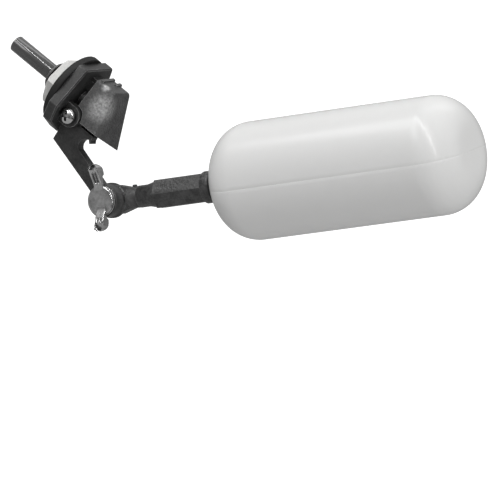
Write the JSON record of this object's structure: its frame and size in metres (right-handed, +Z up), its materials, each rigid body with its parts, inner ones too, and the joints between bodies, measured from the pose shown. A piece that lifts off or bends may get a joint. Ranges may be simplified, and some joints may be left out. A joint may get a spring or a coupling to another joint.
{
  "type": "float valve",
  "caption": "Tank float valve: inlet stem and clamped flange, hooded nozzle, pivoted lever and a jointed arm with a long cylindrical float.",
  "frame": {"origin": "centre of the flange's sealing face, on the inlet axis, where the tank wall is clamped", "axes": "+X along the inlet axis into the tank, +Z up, pivots along Y with their heads on the -Y side"},
  "size_m": [0.1891, 0.0438, 0.1218],
  "materials": {
    "body_plastic": "moulded satin",
    "hood_plastic": "moulded, fine textured sides",
    "stem_plastic": "extruded, satin gloss",
    "arm_plastic": "moulded satin",
    "stem_arm_plastic": "moulded satin",
    "white_nylon": "moulded satin",
    "rubber": "moulded matt",
    "brass": "turned",
    "bright_steel": "plated",
    "cast_zinc": "cast and tumbled",
    "float_plastic": "moulded, soft sheen"
  },
  "bodies": {
    "body": {"valve_body": "body_plastic", "inlet_stem": "stem_plastic", "stem_o_ring": "rubber", "nozzle_seat": "brass", "sealing_washer": "rubber", "outlet_hood": "hood_plastic", "pivot_screw": "bright_steel", "pivot_nut": "bright_steel"},
    "clamp_nut": {"mounting_nut": "white_nylon"},
    "lever": {"lever_arm": "arm_plastic", "seal_plug": "rubber", "knuckle_washer": "bright_steel"},
    "wing": {"wing_screw": "cast_zinc"},
    "float_rod": {"knuckle_rod": "arm_plastic", "rod_pin": "arm_plastic", "float_stem": "stem_arm_plastic", "float_gasket": "rubber", "knuckle_nut": "bright_steel"},
    "float": {"float_shell_upper": "float_plastic", "float_shell_lower": "float_plastic", "float_insert": "white_nylon"}
  },
  "joints": [
    {"name": "nut_slide", "type": "slide", "parent": "body", "child": "clamp_nut", "axis": [-1, 0, 0], "range_m": [0, 0.012]},
    {"name": "lever_swing", "type": "hinge", "parent": "body", "child": "lever", "pos_m": [0.0075, 0, -0.0053], "axis": [0, -1, 0], "range_deg": [0, 12]},
    {"name": "rod_angle", "type": "hinge", "parent": "lever", "child": "float_rod", "pos_m": [0.0364, 0, -0.0233], "axis": [0, -1, 0], "range_deg": [-90, 40]},
    {"name": "wing_turn", "type": "hinge", "parent": "lever", "child": "wing", "pos_m": [0.0364, 0, -0.0233], "axis": [0, -1, 0], "continuous": true},
    {"name": "float_spin", "type": "hinge", "parent": "float_rod", "child": "float", "pos_m": [0.0364, 0, -0.0233], "axis": [0.7373, 0, 0.6756], "continuous": true}
  ]
}
